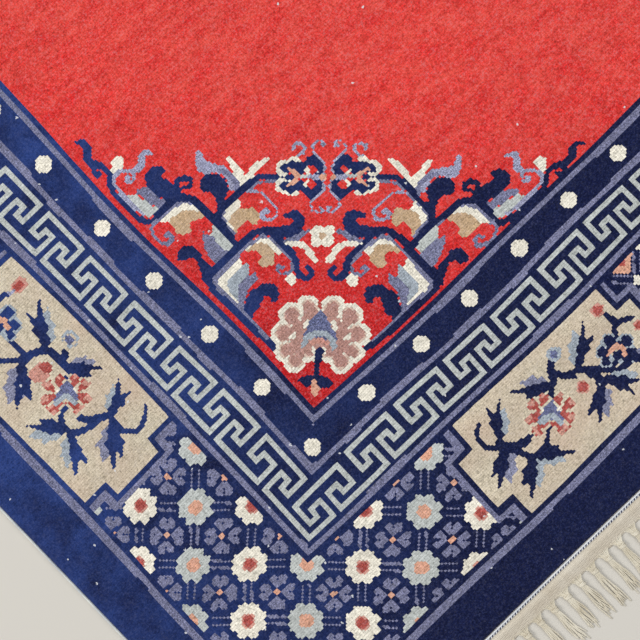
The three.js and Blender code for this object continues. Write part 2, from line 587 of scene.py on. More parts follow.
def side_spray(hand):
    """The branch in a long side's panel: x from -43 at its inner edge to -89, y from 37 to 124."""
    line, stem, spot, leaf = hand.line, hand.stem, hand.spot, hand.leaf
    stem([(-46, 47), (-48.5, 44.4), (-51, 42.6), (-55, 41.8), (-58, 43.8), (-60, 47.5),
        (-60, 52)], 1.6, 2, 2.2, 2.4, 2.4)
    leaf((-60, 53), [(-45.6, 54.4), (-46.4, 62.4)], 6.2, "mist", (-3.2, 2.4))
    leaf((-60.4, 51), [(-67, 39), (-72.4, 37.8)], 8.2, "haze", (-3, 3.6))
    stem([(-57.5, 54), (-61, 54.8), (-66, 56), (-70.5, 56.5), (-75, 60)], 2.4, 2.8, 2.6, 2.8)
    stem([(-63.5, 56.5), (-66.8, 58.4), (-68.6, 62.2)], 2.8, 2.8, 2.4)
    leaf((-74.6, 60.6), [(-79.4, 71.6), (-84.6, 74)], 6.2, "mist", (-4, -1.6))
    leaf((-75, 59.4), [(-78, 46.8), (-85, 46.2)], 6, "mist", (-2.6, 3.6))
    stem([(-74.8, 61), (-74.2, 65.2), (-72.2, 67.6), (-69.6, 68.4)], 2.4, 2.4, 1.8)
    peony(upright(hand, -65.3, 72.3))
    spot((-66.3, 85.2), 5.2, "milk", 4.3)
    spot((-66.6, 85.2), 4.4, "pink", 3.6)
    spot((-63.8, 85.2), 2.2, "rose", 2.6)
    leaf((-58, 79.6), [(-48.8, 69.4), (-54.2, 70)], 6.6, "haze", (2.8, 2.2))
    stem([(-58.5, 78), (-58.2, 84), (-58.6, 89), (-61.4, 91.4), (-65, 93),
        (-68, 93.4)], 3, 2.6, 2.8, 3.4, 3.4)
    stem([(-57.5, 81.5), (-54.6, 84.2)], 2, 2.8)
    stem([(-65.4, 93), (-65.6, 101.5)], 2.1)
    stem([(-67.4, 93.4), (-70.5, 96), (-74, 99.5), (-76, 102)], 2.8, 2.2, 2, 1.6)
    spot((-49.6, 86.2), 3.4, "mist")
    spot((-49.8, 86.2), 2.4, "cream")
    spot((-50, 86.2), 1.9, "indigo")
    leaf((-68.6, 93.6), [(-76.2, 79.6), (-83.4, 80.6)], 6.6, "haze", (-4, 2.6))
    leaf((-58.8, 89.6), [(-47, 105), (-53.8, 104.4)], 6.2, "mist", (2.6, -3))
    ring_flower(upright(hand, -64, 109.5))
    stem([(-61, 114.5), (-58, 116), (-54, 115.2)], 2, 2.4, 2.4)
    bud(hand, -48.3, 114.2, 3.3)
    line([(-53.2, 114.6), (-51.8, 114.2)], "lilac", 1.6)
    leaf((-75.5, 101.5), [(-86.4, 107.4), (-83.4, 113)], 6, "mist", (3, 3))
    leaf((-69.5, 113.5), [(-80, 119.6), (-73.4, 122)], 5.6, "haze", (-3, 1))


def end_spray(hand):
    """The branch in a short end's panel: x from 33 to 109, y from -42 at its inner edge to -86."""
    stem, leaf = hand.stem, hand.leaf
    stem([(42.3, -47.6), (40, -48.4), (38, -50.4), (37.4, -54.5), (39.6, -57.6),
        (43, -58)], 1.6, 2, 2, 2.4)
    leaf((43.6, -58), [(47.8, -44.4), (54.4, -45.8)], 5.4, "mist", (2, -3.4))
    leaf((44.4, -60), [(31.4, -65.2), (30.4, -70.2)], 6.6, "haze", (3.2, -3.2))
    stem([(43.3, -57.5), (43.5, -60), (46, -65), (48.2, -70), (50.5, -72.5)], 3, 2.8, 2.2, 2.4)
    stem([(44, -60), (47, -63.2), (51, -64.4), (54.8, -64.3)], 2, 3, 3.4, 1.2)
    leaf((49.4, -70), [(38.2, -75), (37.2, -81.6)], 6.6, "mist", (4, -1.8))
    leaf((49, -70.6), [(58.6, -74.6), (61.4, -80.6)], 6.2, "mist", (-2, -2.6))
    stem([(49, -70.8), (55, -70.8), (58, -69.2), (60.4, -67.4)], 1.8, 2, 1.4)
    peony(upright(hand, 64.8, -63.4))
    leaf((72.2, -56), [(59, -46.8), (61.4, -53)], 5.6, "haze", (3, 2.6))
    stem([(69.8, -58.4), (71.8, -56.4), (75.2, -54)], 1.6, 2.6, 3)
    stem([(73.8, -55.2), (75.4, -52), (78, -48.8)], 2.6, 3.4, 2.2)
    stem([(76, -54), (78.2, -57.2), (82, -58.4), (84.6, -61), (86.2, -65.6),
        (85.4, -69.6)], 3, 2.2, 2.6, 3.2, 3.4)
    stem([(78, -57), (80.6, -60.4)], 2, 1.6)
    hand.spot((80.5, -47.6), 3.1, "mist")
    hand.spot((80.5, -47.6), 1.6, "indigo")
    bud(hand, 79.8, -65.2, 2.6, 2.8)
    leaf((83, -58.4), [(97.2, -45.8), (95.8, -53.2)], 5.6, "mist", (-3.4, 2.6))
    ring_flower(upright(hand, 98.9, -63.9))
    stem([(85.4, -61), (88.2, -63), (89.6, -66), (92.6, -67.8), (95.2, -66.6)], 2.6, 2.2, 2.2, 2.2, 1.6)
    stem([(86, -68), (89.6, -70), (93.4, -69.2)], 3, 3, 2.2)
    leaf((86.6, -69.2), [(74, -74.2), (75.4, -79.6)], 5.6, "haze", (2.6, -3))
    leaf((88.4, -69), [(92.8, -81.2), (98.6, -79.4)], 6, "mist", (3, 2.4))
    stem([(105.4, -50.8), (105.6, -56)], 2.4)
    stem([(102.6, -59.4), (104.4, -56.4), (107.6, -56.2), (112.4, -59)], 2.2, 2.4, 2.4, 1.4)
    bud(hand, 103.8, -46.8, 2.9, 2.6)
    bud(hand, 112, -62.3, 2.3, 2.3)
    leaf((101, -69.6), [(112.4, -76), (108.4, -82.6)], 5.8, "haze", (3, 1.6))
    stem([(94, -69.4), (98.4, -71), (101.6, -69.8)], 2)


# Where a side's and an end's first panel starts, its length and the gap to the next one
SIDE_START, SIDE_PANEL, SIDE_GAP = 37, 87.0, 43.3
END_START, END_PANEL, END_GAP = 33, 76.0, 41.5
SIDE_STEP = SIDE_PANEL + SIDE_GAP
END_STEP = END_PANEL + END_GAP
SIDE_PANELS, END_PANELS = 3, 2
SIDE_EDGES = (-43, -89.5)  # a panel's inner and outer edge
END_EDGES = (-41.5, -86.5)
SIDE_REACH = 6.6  # how far the narrower part of a panel runs on at each end
END_REACH = 7.6
SIDE_MIDDLE = 21.7  # from a panel's end to the middle of the diaper after it
END_MIDDLE = 20.7
SIDE_DIAPER = -51.4  # the diaper's first white squares, outwards from the field
END_DIAPER = -49.8
SIDE_DIAPER_HALF = 24  # steps from the diaper's middle to where it's cut off
END_DIAPER_HALF = 23
PANEL_STEP = 11.3  # by which a panel's longer part is narrower than its full width
PANEL_OVER = 10  # how far a panel is drawn past the band, where it's cut off
CORNER_BLOCK = (40, 50)


def panel(hand, start, length, edges, reach, along_y):
    """A cream panel with stepped ends, a navy outline and a slate line round each end."""
    for grow, dye in ((4.6, "slate"), (2.1, "navy"), (0, "cream")):
        for more, inset in ((0, -PANEL_OVER), (reach, PANEL_STEP)):
            a0, a1 = start - more - grow, start + length + more + grow
            b0, b1 = edges[0] - inset + grow, edges[1] + inset - grow
            box = (b1, a0, b0, a1) if along_y else (a0, b1, a1, b0)
            (x0, y0), (x1, y1) = hand.at([box[:2], box[2:]])
            hand.chart.box(x0, y0, x1, y1, dye)


def in_band(across, along):
    near, far = MAIN_BAND
    return (across > -far) & (across < -near) & (along > -far)


def main_border(chart):
    """Blossoms on a lattice at the corner, then panels with a diaper between them."""
    hand = Hand(chart)
    wide, tall = CORNER_BLOCK
    chart.clip = lambda x, y: (in_band(x, y) | in_band(y, x)) & (x < wide) & (y < tall)
    lattice(hand, range(-4, 7), range(-3, 8))
    for k in range(SIDE_PANELS):
        centre = SIDE_START + SIDE_PANEL + SIDE_MIDDLE + SIDE_STEP * k
        chart.clip = lambda x, y: in_band(x, y) & (abs(y * UNIT_ALONG - centre) < SIDE_DIAPER_HALF)
        diaper(hand, SIDE_DIAPER, centre, range(-4, 2), range(-1, 2))
    chart.clip = in_band
    for k in range(SIDE_PANELS):
        panel(hand, SIDE_START + SIDE_STEP * k, SIDE_PANEL, SIDE_EDGES, SIDE_REACH, True)
        side_spray(Hand(chart, (0, SIDE_STEP * k)))
    for k in range(END_PANELS):
        centre = END_START + END_PANEL + END_MIDDLE + END_STEP * k
        chart.clip = lambda x, y: in_band(y, x) & (abs(x * UNIT_ACROSS - centre) < END_DIAPER_HALF)
        diaper(hand, centre - 6, END_DIAPER, range(0, 3), range(-4, 2))
    chart.clip = lambda x, y: in_band(y, x)
    for k in range(END_PANELS):
        panel(hand, END_START + END_STEP * k, END_PANEL, END_EDGES, END_REACH, False)
        end_spray(Hand(chart, (END_STEP * k, 0)))
    chart.clip = None


def big_peony(hand):
    """The left half of the flower in the field's corner."""
    line, spot = hand.line, hand.spot
    lobes = (
        (-3.4, 39.8, 4.3), (-9.8, 36.4, 4.7), (-13.3, 29.2, 4.5), (-12.2, 22, 4), (-8.5, 17.9, 4),
        (-3.2, 22, 3.5),
    )
    heart = (-2.5, 29)
    for x, y, r in lobes:
        inner = np.array([x * 0.95, y + (heart[1] - y) * 0.06])
        spot((x, y), r + 0.3, "ivory")
        spot(inner, r - 0.9, "blush")
        spot(inner, r - 1.6, "dusty")
    for x, y, r in lobes:
        line([(x * 0.9, y + (heart[1] - y) * 0.1), heart], "dusty", 2 * r - 4.2, 3.4)
    spot((-3.6, 28.4), 6.6, "dusty", 7.6)
    spot((-1.4, 35.5), 3, "dusty")
    line([(-6.3, 40.6), (-6, 37.5), (-6.8, 34.4)], "ivory", 1.4, 1.6, 1)
    line([(-4.9, 31.6), (-3.5, 34)], "ivory", 1.7)
    spot((-9.4, 28.4), 1.7, "ivory", 1.2)
    line([(-1.2, 25), (-1.4, 22)], "ivory", 1.2)


def flower_heart(hand):
    """The flower's dark heart with a pale crescent over it."""
    hand.shape([(1, 38.6), (-3.2, 34.4), (-3.8, 31.4), (-5.6, 29.6), (-5.6, 27), (7.6, 27), (7.4, 29.6),
        (5.4, 31.4), (4.8, 34.6)], "indigo")
    hand.line([(-5.4, 24.4), (-3.8, 27.6), (-1.4, 29.4), (1, 29.8), (3.4, 29.4), (5.6, 27.4),
        (6.6, 24)], "mist", 2, 2.4, 2.4, 2.4, 2)
    hand.shape([(-3.4, 25.4), (-1.2, 27.6), (2.6, 27.6), (4.6, 25.2), (2.5, 24.4), (-0.8, 24.4)], "dusty")
    hand.line([(-1.8, 26), (1, 26.9), (3.4, 26)], "pink", 1.7)
    hand.spot((1.1, 41.2), 0.8, "rose")
    hand.spot((1.1, 39.6), 0.8, "rose")


def corner_stem(hand):
    """The stem that comes out of the field's corner, with a leaf to each side."""
    stem = hand.stem
    stem([(1.2, 22.6), (0.7, 20), (0.4, 12)], 3, 2.4, 2.2, 2.2)
    stem([(0, 12), (-2.8, 10.6), (-6.2, 11)], 2.4, 4.4, 1.6)
    stem([(0.4, 12), (3.6, 10.2), (6.4, 9.8)], 2.4, 4.4, 1.8)
    hand.line([(-1, 11), (-0.2, 9.4), (0.1, 5.8)], "peach", 1.6, 2, 3.4, 2.6)


def first_leaf(hand):
    """The lowest leaf, over the flower: pale bands, a tan lobe and a hook inside a dark outline."""
    line, stem, shape = hand.line, hand.stem, hand.shape
    shape([(-20, 68.4), (-41, 50.6), (-17.4, 25.4), (-30, 41), (-28, 62), (-12, 62)], "slate")
    shape([(-38, 49.4), (-29.6, 58.2), (-27.8, 55), (-33.4, 48.6), (-33.4, 45.6), (-30.2, 41.2),
        (-31.2, 40), (-37.8, 46.8)], "ivory")
    shape([(-34, 49.4), (-29.2, 53.4), (-27.6, 56.4), (-25.8, 56), (-26, 51.8), (-29.6, 47.6),
        (-29.8, 42), (-31.2, 42.2), (-34, 46)], "mist")
    shape([(-30.4, 47.4), (-26.2, 51.2), (-24.6, 51), (-23, 53), (-22.6, 49.2), (-26.4, 45),
        (-28.4, 39.6), (-30.4, 39.4)], "slate")
    shape([(-28.4, 61.8), (-29.4, 58.4), (-27.8, 55.6), (-25.8, 57), (-22.8, 56.6), (-20.6, 58.6),
        (-22.8, 61), (-25.4, 60.2), (-27, 61.4)], "red")
    shape([(-28.2, 61.4), (-24, 65.2), (-20.2, 66.4), (-16.8, 65.2), (-12.8, 61), (-14.4, 59.6),
        (-17.4, 61.4), (-22.6, 61)], "ivory")
    shape([(-26.6, 60.6), (-23.4, 63.6), (-19, 64), (-16.2, 61.2), (-15.6, 58.2), (-16.8, 55.6),
        (-19.8, 54.6), (-22.4, 56.2), (-20.6, 58.6), (-22.6, 60.8)], "tan", rounded=True)
    line([(-11.6, 60.4), (-9.2, 57.4), (-8.9, 55.4), (-10.2, 52.8), (-13, 52.2), (-14.8, 53.6),
        (-14, 55), (-12.6, 54.6)], "slate", 1.6, 1.3, 1.2, 1.4, 1.6)
    hand.spot((-9.7, 50), 2.3, "ivory")
    shape([(-28.2, 39.4), (-26, 44.4), (-22, 47.6), (-18, 48.8), (-15, 47.2), (-14, 44), (-15.2, 41.6),
        (-17.2, 41.2), (-18, 43.2), (-19.8, 43.6), (-21, 41.6), (-22.4, 38), (-24.6, 36), (-25.2, 33),
        (-27.6, 34.8)], "navy")
    stem([(-16.6, 23.6), (-28.6, 34.8), (-37.6, 44.4), (-42, 49.6)], 2.4, 3.8, 3.6, 3)
    stem([(-42, 49.6), (-40.8, 52), (-36, 56.2), (-30, 62.2), (-24.6, 67.4), (-20, 69.2), (-16, 67.4),
        (-11.4, 63), (-8.4, 59.4), (-7.2, 56), (-7, 53), (-5, 51), (-2.6, 51), (-1.6, 53.2),
        (-3, 55)], 3.4, 3, 3, 3, 2.6, 2.4, 2.4, 2.6, 2.2)
    line([(-19.2, 27), (-30, 38.6), (-38.4, 47), (-38.6, 50.2), (-30.4, 58.8), (-24, 64.6), (-20, 66.4),
        (-17, 65.6), (-11.6, 60.6)], "slate", 1.2)


def second_leaf(hand):
    """The next leaf outwards along the side."""
    line, stem, shape = hand.line, hand.stem, hand.shape
    line([(-31.6, 63.6), (-38.6, 71.4), (-44.6, 77.6), (-49.4, 80.6), (-54.4, 79.2),
        (-61, 73.4)], "slate", 2.6)
    shape([(-39.4, 73.2), (-31.6, 64.4), (-31.8, 62.6), (-34.2, 60.6), (-37.4, 62.8), (-40.6, 66.6),
        (-40.2, 70.6)], "fret")
    shape([(-43.6, 69.6), (-42.4, 67.2), (-39.8, 66.4), (-36, 61.8), (-33.8, 60.4), (-38.2, 54.6),
        (-40.4, 57), (-42.6, 61.4), (-43.8, 66)], "slate")
    shape([(-39.4, 53), (-43.4, 58), (-45.8, 62.2), (-50.2, 63.6), (-53, 60.6), (-52.6, 57.8),
        (-50, 57), (-48, 58.6), (-45.6, 57.2), (-44.4, 53.6), (-43.4, 50), (-40.8, 50)], "navy")
    shape([(-60, 73), (-54.4, 78.4), (-51, 80), (-46.6, 79.2), (-43.4, 75.8), (-48, 75.6), (-52, 76),
        (-56.6, 72.8)], "ivory")
    shape([(-56.4, 73), (-52, 76.8), (-47, 77), (-42.8, 74.6), (-46.4, 73.4), (-48.6, 71), (-48, 68.8),
        (-50.6, 67.6), (-53.2, 68.2), (-54.4, 70.2)], "tan", rounded=True)
    line([(-61, 74), (-62.8, 71), (-61.8, 67.4), (-59.4, 65), (-56.4, 64.2), (-55, 66.2), (-56, 68.2),
        (-57.6, 67.6)], "slate", 1.4, 1.3, 1.4, 1.8, 1.8)
    stem([(-30.2, 62), (-32.2, 65.4), (-38, 71.8), (-44.6, 78.6), (-49.6, 82.2), (-55, 81.4),
        (-61, 75.6)], 2, 2.6, 2.8, 3, 2.6)


def third_leaf(hand):
    """The last leaf of the scroll, whose outline runs out along the side in a wave."""
    line, stem, shape = hand.line, hand.stem, hand.shape
    shape([(-74.6, 83.6), (-69, 84.2), (-65.6, 81.6), (-59.4, 77.6), (-60.4, 76), (-64, 75.2),
        (-66.6, 76.4), (-70.4, 79.6)], "fret")
    shape([(-70.2, 86.4), (-65.2, 86.8), (-60.2, 82.2), (-56.4, 81), (-57.4, 79.6), (-60.2, 78.8),
        (-63.6, 80.4), (-66.2, 82.6), (-68.6, 84.4)], "slate")
    stem([(-55, 83.2), (-60.4, 87.4), (-63.6, 90.4), (-61.8, 93), (-59.2, 93)], 5, 6.6, 6, 4.4, 2.6)
    stem([(-53.6, 84.4), (-54, 88.2), (-51.2, 90), (-48.8, 88.6), (-49.4, 86.6),
        (-51.4, 86.4)], 3, 2, 2.2, 2.2, 1.6)
    line([(-66, 76.4), (-70.4, 79.8), (-76.2, 86.2), (-78, 90), (-76.8, 92.6), (-74, 93.6),
        (-71, 93.4)], "lilac", 1.4)
    line([(-70.4, 93.4), (-68, 94.6), (-67.4, 97.4), (-66.8, 99.8),
        (-63.4, 99.8)], "lilac", 1.4, 2.8, 3, 2.4, 1)
    line([(-70.2, 93.2), (-70.2, 91), (-71.4, 89.2), (-73.2, 89.4),
        (-72.6, 90.8)], "lilac", 1.4, 1.2, 1.6, 1.8)
    stem([(-55.4, 80.8), (-60.2, 75.2), (-63.4, 73.2), (-67.4, 74.4), (-72, 78.6), (-77.6, 84.6),
        (-79.4, 88), (-79.8, 92), (-82.4, 95), (-86.6, 96.4), (-88.6, 98.6), (-88.8, 102), (-90.4, 104),
        (-93.6, 104)], 2.6, 2.6, 2.6, 2.6, 2.4, 2.2, 2, 3.2, 3.6, 1.2)
    stem([(-86.2, 95.6), (-86.2, 93), (-84.8, 91.4), (-83.4, 92.4)], 1.4, 2, 1.6)
    hand.spot((-76.6, 96.6), 2.5, "ivory")
    line([(-78, 93.8), (-77.4, 95.4)], "ivory", 2)


def upper_leaf(hand):
    """The leaf that carries the branch to the cloud-headed blossom."""
    line, stem, shape = hand.line, hand.stem, hand.shape
    shape([(-36.4, 74.2), (-35, 77.2), (-30.2, 81.8), (-29, 78.4), (-31.8, 75.6), (-31.4, 70),
        (-30.2, 67), (-31.8, 67.4), (-34.6, 71.2)], "ivory")
    shape([(-33.6, 73.4), (-30.2, 77.4), (-27, 77.8), (-25.2, 79), (-22.8, 77.4), (-22, 74.2),
        (-23.2, 71.6), (-25.2, 71.4), (-26.6, 73), (-28.8, 71.4), (-30.2, 69), (-30.2, 66.8),
        (-31.8, 69.4)], "tan", rounded=True)
    line([(-29.4, 84.2), (-23.4, 85), (-19.2, 82.8), (-16, 79.4), (-15.2, 76), (-17.2, 73.6), (-20, 74),
        (-21.4, 76), (-20, 77.6)], "lilac", 1.1, 1.1, 1.1, 1.3, 1.8)
    hand.spot((-19.2, 77), 1.3, "lilac")
    shape([(-33.4, 84.2), (-29.6, 88.4), (-33, 92), (-36, 94.6), (-41, 95.6), (-44, 96.6), (-45, 100.6),
        (-46.8, 100.2), (-47.2, 95.6), (-46, 92.2), (-43.4, 91), (-40, 92), (-36, 91),
        (-34.4, 87.4)], "lilac")
    line([(-31.4, 84.6), (-31, 88.4), (-34, 91.4), (-38.4, 93)], "slate", 1.6, 2.6, 2.4, 1.2)
    shape([(-38.8, 75.4), (-38.6, 80), (-39.6, 83.4), (-41.4, 84.4), (-43.8, 84.2), (-45.6, 86.6),
        (-45, 89.6), (-42, 91.6), (-38, 91.2), (-35.4, 89.2), (-34.2, 85), (-36, 82),
        (-36.2, 76)], "navy")
    line([(-34.6, 97.8), (-31, 92.4), (-27.8, 88.2)], "ivory", 2, 3.2, 4)
    line([(-28, 88.6), (-25, 92.8), (-21.6, 96.4), (-18.6, 98)], "ivory", 4, 3, 2.8, 1.4)
    line([(-31.4, 67.6), (-35.8, 73.4), (-35.4, 77), (-29.6, 82.8), (-24.4, 87.6), (-20, 89),
        (-15.4, 89.2)], "slate", 1.2)
    stem([(-30.6, 63), (-33.6, 67.6), (-37.6, 73.4), (-36.8, 77.2), (-31, 83), (-25.4, 88.8),
        (-22, 90.8), (-13.6, 91)], 2.4, 2.6, 2.6, 2.6, 2.4, 2, 1.9)


def curls(hand):
    """The hook and the strokes beside the small flower."""
    line, stem = hand.line, hand.stem
    line([(-10.8, 65), (-6.4, 67.4), (-2.8, 69.8)], "slate", 2.6, 2.6, 1.4)
    stem([(-20, 69.6), (-13.6, 69), (-8.6, 70), (-6.4, 73), (-7.6, 75.8),
        (-11.4, 75.4)], 2.8, 3.6, 5, 4.6, 4.2, 2.6)
    line([(-11.4, 64.2), (-6.6, 64.2), (-3.6, 62.6), (-0.6, 58)], "ivory", 1.2, 2.6, 2.8, 2.6)


def cloud_head(hand):
    """A cloud-headed blossom over the scrolls, in two halves, and the curl beside it."""
    right, up = hand.axes
    middle = 91.1
    for s in (-1, 1):
        half = Hand(hand.chart, hand.origin + middle * up, right, s * up)
        line, stem, spot = half.line, half.stem, half.spot
        spot((-1.9, 5), 3.7, "navy")
        spot((-0.4, 2.8), 2.1, "navy")
        line([(1.6, 1.6), (2.2, 3.4), (1.4, 6.2), (-0.8, 8.4), (-2.4, 10.4), (-2.2, 12.4), (-0.6, 14),
            (1.4, 14), (2.2, 12.8)], "lilac", 1)
        spot((1.2, 12.4), 1, "lilac")
        spot((-2.5, 3), 1.4, "red", 1.9)
        spot((-13.2, 3.4), 3.1, "ivory")
        spot((-9.3, 5.3), 2.6, "ivory")
        spot((-7.2, 3.4), 2.4, "navy")
        spot((-9.7, 4.6), 2, "navy")
        spot((-12.4, 3.2), 2.1, "navy")
        stem([(-12, 4.6), (-9, 2.6)], 1.6)
        line([(-11.2, 3.3), (-8.8, 1.5), (-7.8, 0)], "peach", 1.6)
        line([(-4.8, 3.2), (-3.8, 1.8), (-3.7, 0)], "ivory", 1.2)
        line([(-11.8, 1.2), (-14, 1.4)], "ivory", 1.2)
    hand.line([(-6.6, middle), (-3.8, middle)], "fret", 1.6)
    hand.line([(-3.4, middle), (0.6, middle)], "lilac", 1.7)
    hand.spot((1.5, middle), 1.3, "peach")
    hand.spot((-10.6, middle), 1.3, "navy")
    hand.stem([(-16, middle), (-11, middle)], 1.1)
    hand.line([(-8.8, 98.6), (-7, 99.8), (-5.4, 101.4), (-5.6, 103.2), (-7.6, 104), (-9.4, 103.2),
        (-9.6, 101.8)], "lilac", 1.5, 1.1, 1.2, 1.6)
    hand.spot((-8.6, 98), 1.2, "ivory")


def small_flower(hand):
    """Four petals over the scrolls."""
    centre = np.array([2.3, 67.4])
    for dx in (-2, 2):
        for dy in (-1.9, 1.9):
            hand.spot(centre + (dx, dy), 2.5, "ivory")
    hand.spot(centre, 1.5, "tan")


LEAN = 0.072  # how much the right half leans from the left one's mirror image


def spandrel(chart):
    """The field's corner: a flower, scrolling leaves and two cloud-headed blossoms, in mirrored halves."""
    left = Hand(chart, (0, 0), RIGHT, UP)
    right = Hand(chart, (0, 0), -RIGHT, UP + LEAN * RIGHT)
    chart.clip = lambda x, y: (x > 0) & (y > 0)
    for hand in (left, right):
        for part in (third_leaf, second_leaf, first_leaf, upper_leaf, curls, cloud_head, big_peony):
            part(hand)
    for part in (flower_heart, corner_stem, small_flower):
        part(left)
    chart.clip = None


def whole_chart():
    chart = Chart()
    stripes(chart)
    pearls(chart)
    fret(chart)
    main_border(chart)
    spandrel(chart)
    quarter = chart.knots
    half = np.concatenate([quarter, quarter[:, ::-1]], 1)
    return np.concatenate([half, half[::-1]], 0)


# The pile

LONGEST = 20  # knots along a tile's side, at most
RIM = 2  # knots at the edge that keep their own rows of tiles
RING_STEP = 100  # more than there are dyes
LAY_WAVE = 1.1  # knots that a drawn line strays from straight
LOOSENING = 6  # knots over which that straying grows, inwards from the rim
UNEVEN = 0.1  # knots that one corner of a tile strays
EASE = 0.11  # knots by which the pile rounds off a step in a drawn line
PILE_SINK = 0.0003  # metres that the pile's middle height is under the CAD's
PILE_SWELL = 0.0004


def length_of(same):
    """How many are true before the first that isn't."""
    return len(same) if same.all() else int(same.argmin())


def tiles_of(quarter):
    """Rectangles of one dye each, as (row, column, height, width)."""
    rows, columns = quarter.shape
    ring = np.minimum(np.arange(rows)[:, None], np.arange(columns)[None, :])
    kind = quarter.astype(int) + RING_STEP * np.minimum(ring, RIM)
    free = np.ones(quarter.shape, bool)
    tiles = []
    for r in range(rows):
        c = 0
        while c < columns:
            if not free[r, c]:
                c += 1
                continue
            wide = length_of((kind[r, c : c + LONGEST] == kind[r, c]) & free[r, c : c + LONGEST])
            tall = length_of((kind[r : r + LONGEST, c : c + wide] == kind[r, c]).all(1))
            free[r : r + tall, c : c + wide] = False
            tiles.append((r, c, tall, wide))
            c += wide
    return tiles


def all_tiles(chart):
    rows, columns = chart.shape
    tiles = []
    for r, c, tall, wide in tiles_of(chart[: rows // 2, : columns // 2]):
        for row in (r, rows - r - tall):
            for column in (c, columns - c - wide):
                tiles.append((row, column, tall, wide))
    return tiles


def eased(chart):
    """How far each corner between four knots moves where one of the four has a dye of its own."""
    move = np.zeros((ALONG + 1, ACROSS + 1, 2))
    around = [chart[:-1, :-1], chart[:-1, 1:], chart[1:, 1:], chart[1:, :-1]]
    for k, way in enumerate(((-EASE, -EASE), (EASE, -EASE), (EASE, EASE), (-EASE, EASE))):
        odd, a, b, c = around[k:] + around[:k]
        move[1:-1, 1:-1][(a == b) & (b == c) & (odd != a)] = way
    return move


def pile_place(i, j, move):
    """Where the corner of knot (i, j) lies, i across and j along."""
    u, v = i / ACROSS, j / ALONG
    inside = np.minimum(np.minimum(i, ACROSS - i), np.minimum(j, ALONG - j))
    loose = np.clip((inside - RIM) / LOOSENING, 0, 1)
    du = LAY_WAVE * (0.6 * np.sin(i * 0.021 + j * 0.034 + 1) + 0.4 * np.sin(i * 0.083 - j * 0.05))
    dv = LAY_WAVE * (0.6 * np.sin(j * 0.019 - i * 0.03 + 2) + 0.4 * np.sin(j * 0.071 + i * 0.06))
    u = u + loose * (du + move[:, 0] + rng.uniform(-UNEVEN, UNEVEN, len(i))) / ACROSS
    v = v + loose * (dv + move[:, 1] + rng.uniform(-UNEVEN, UNEVEN, len(i))) / ALONG
    flat_x = (u - 0.5) * WIDTH
    flat_y = (v - 0.5) * LENGTH
    left, right = side_x(flat_y, -1), side_x(flat_y, 1)
    front, back = end_y(flat_x, -1), end_y(flat_x, 1)
    x = left + (right - left) * u
    y = front + (back - front) * v
    swell = np.sin(x * 9 + y * 4) * np.sin(y * 7 - x * 3 + 1) + 0.5 * np.sin(x * 23 - y * 17)
    fall = np.interp(inside, (0, 1, 2, 3), (THICKNESS - SHOULDER_HEIGHT, 0.0008, 0.0002, 0))
    z = THICKNESS - fall - PILE_SINK + PILE_SWELL * swell * loose
    return np.stack([x, y, z], 1)


def tile_corners(tiles):
    """A number for each corner between knots that is a corner of a tile, and -1 for the others."""
    corners = np.zeros((ALONG + 1, ACROSS + 1), bool)
    for r, c, tall, wide in tiles:
        for a in (r, r + tall):
            corners[a, [c, c + wide]] = True
    number = np.full(corners.shape, -1)
    number[corners] = np.arange(corners.sum())
    return number


def ring_round(number, r, c, tall, wide):
    """The numbered corners round a rectangle of knots."""
    south = number[r, c : c + wide]
    east = number[r : r + tall, c + wide]
    north = number[r + tall, c + 1 : c + wide + 1][::-1]
    west = number[r + 1 : r + tall + 1, c][::-1]
    ring = np.concatenate([south, east, north, west])
    return ring[ring >= 0]


def skirt(rim, below):
    """The faces that close the pile downwards, and their dyes."""
    turn = zip(rim, below, np.roll(below, -1), np.roll(rim, -1))
    faces = [*turn, below[::-1].tolist()]
    return faces, [INDEX["navy"]] * len(rim) + [INDEX["cream"]]


def dye_faces(mesh, dyes, sizes):
    linear_dyes = np.array([linear(c) for c in DYES.values()])
    colours = np.ones((sizes.sum(), 4), np.float32)
    colours[:, :3] = linear_dyes[np.repeat(dyes, sizes)]
    layer = mesh.color_attributes.new("dye", "FLOAT_COLOR", "CORNER")
    layer.data.foreach_set("color", colours.ravel())


def map_knots(mesh, spots, underside):
    """Lays the UV maps: one that counts knots, and one for baking that keeps the underside apart."""
    corners = np.zeros(len(mesh.loops), int)
    mesh.loops.foreach_get("vertex_index", corners)
    knots = spots[corners]
    baked = knots * 0.97
    baked[-underside:] = 0.98 + 0.015 * knots[-underside:]
    for name, places in (("Knots", knots), ("OFBake", baked)):
        layer = mesh.uv_layers.new(name=name)
        layer.data.foreach_set("uv", places.astype(np.float32).ravel())


def pile_piece(chart, material):
    tiles = all_tiles(chart)
    number = tile_corners(tiles)
    rows, columns = np.nonzero(number >= 0)
    top = pile_place(columns.astype(float), rows.astype(float), eased(chart)[rows, columns])
    faces = [ring_round(number, *tile).tolist() for tile in tiles]
    dyes = [chart[tile[:2]] for tile in tiles]
    rim = ring_round(number, 0, 0, ALONG, ACROSS)
    below = len(top) + np.arange(len(rim))
    more_faces, more_dyes = skirt(rim, below)
    faces += more_faces
    vertices = np.concatenate([top, top[rim] * (1, 1, 0)])
    piece = new_piece("pile", vertices, faces, [material])
    sizes = np.array([len(f) for f in faces])
    dye_faces(piece.data, dyes + more_dyes, sizes)
    spots = np.stack([columns / ACROSS, rows / ALONG], 1)
    map_knots(piece.data, np.concatenate([spots, spots[rim]]), len(rim))
    print("pile: tiles", len(tiles), "triangles", (sizes - 2).sum())
    return piece


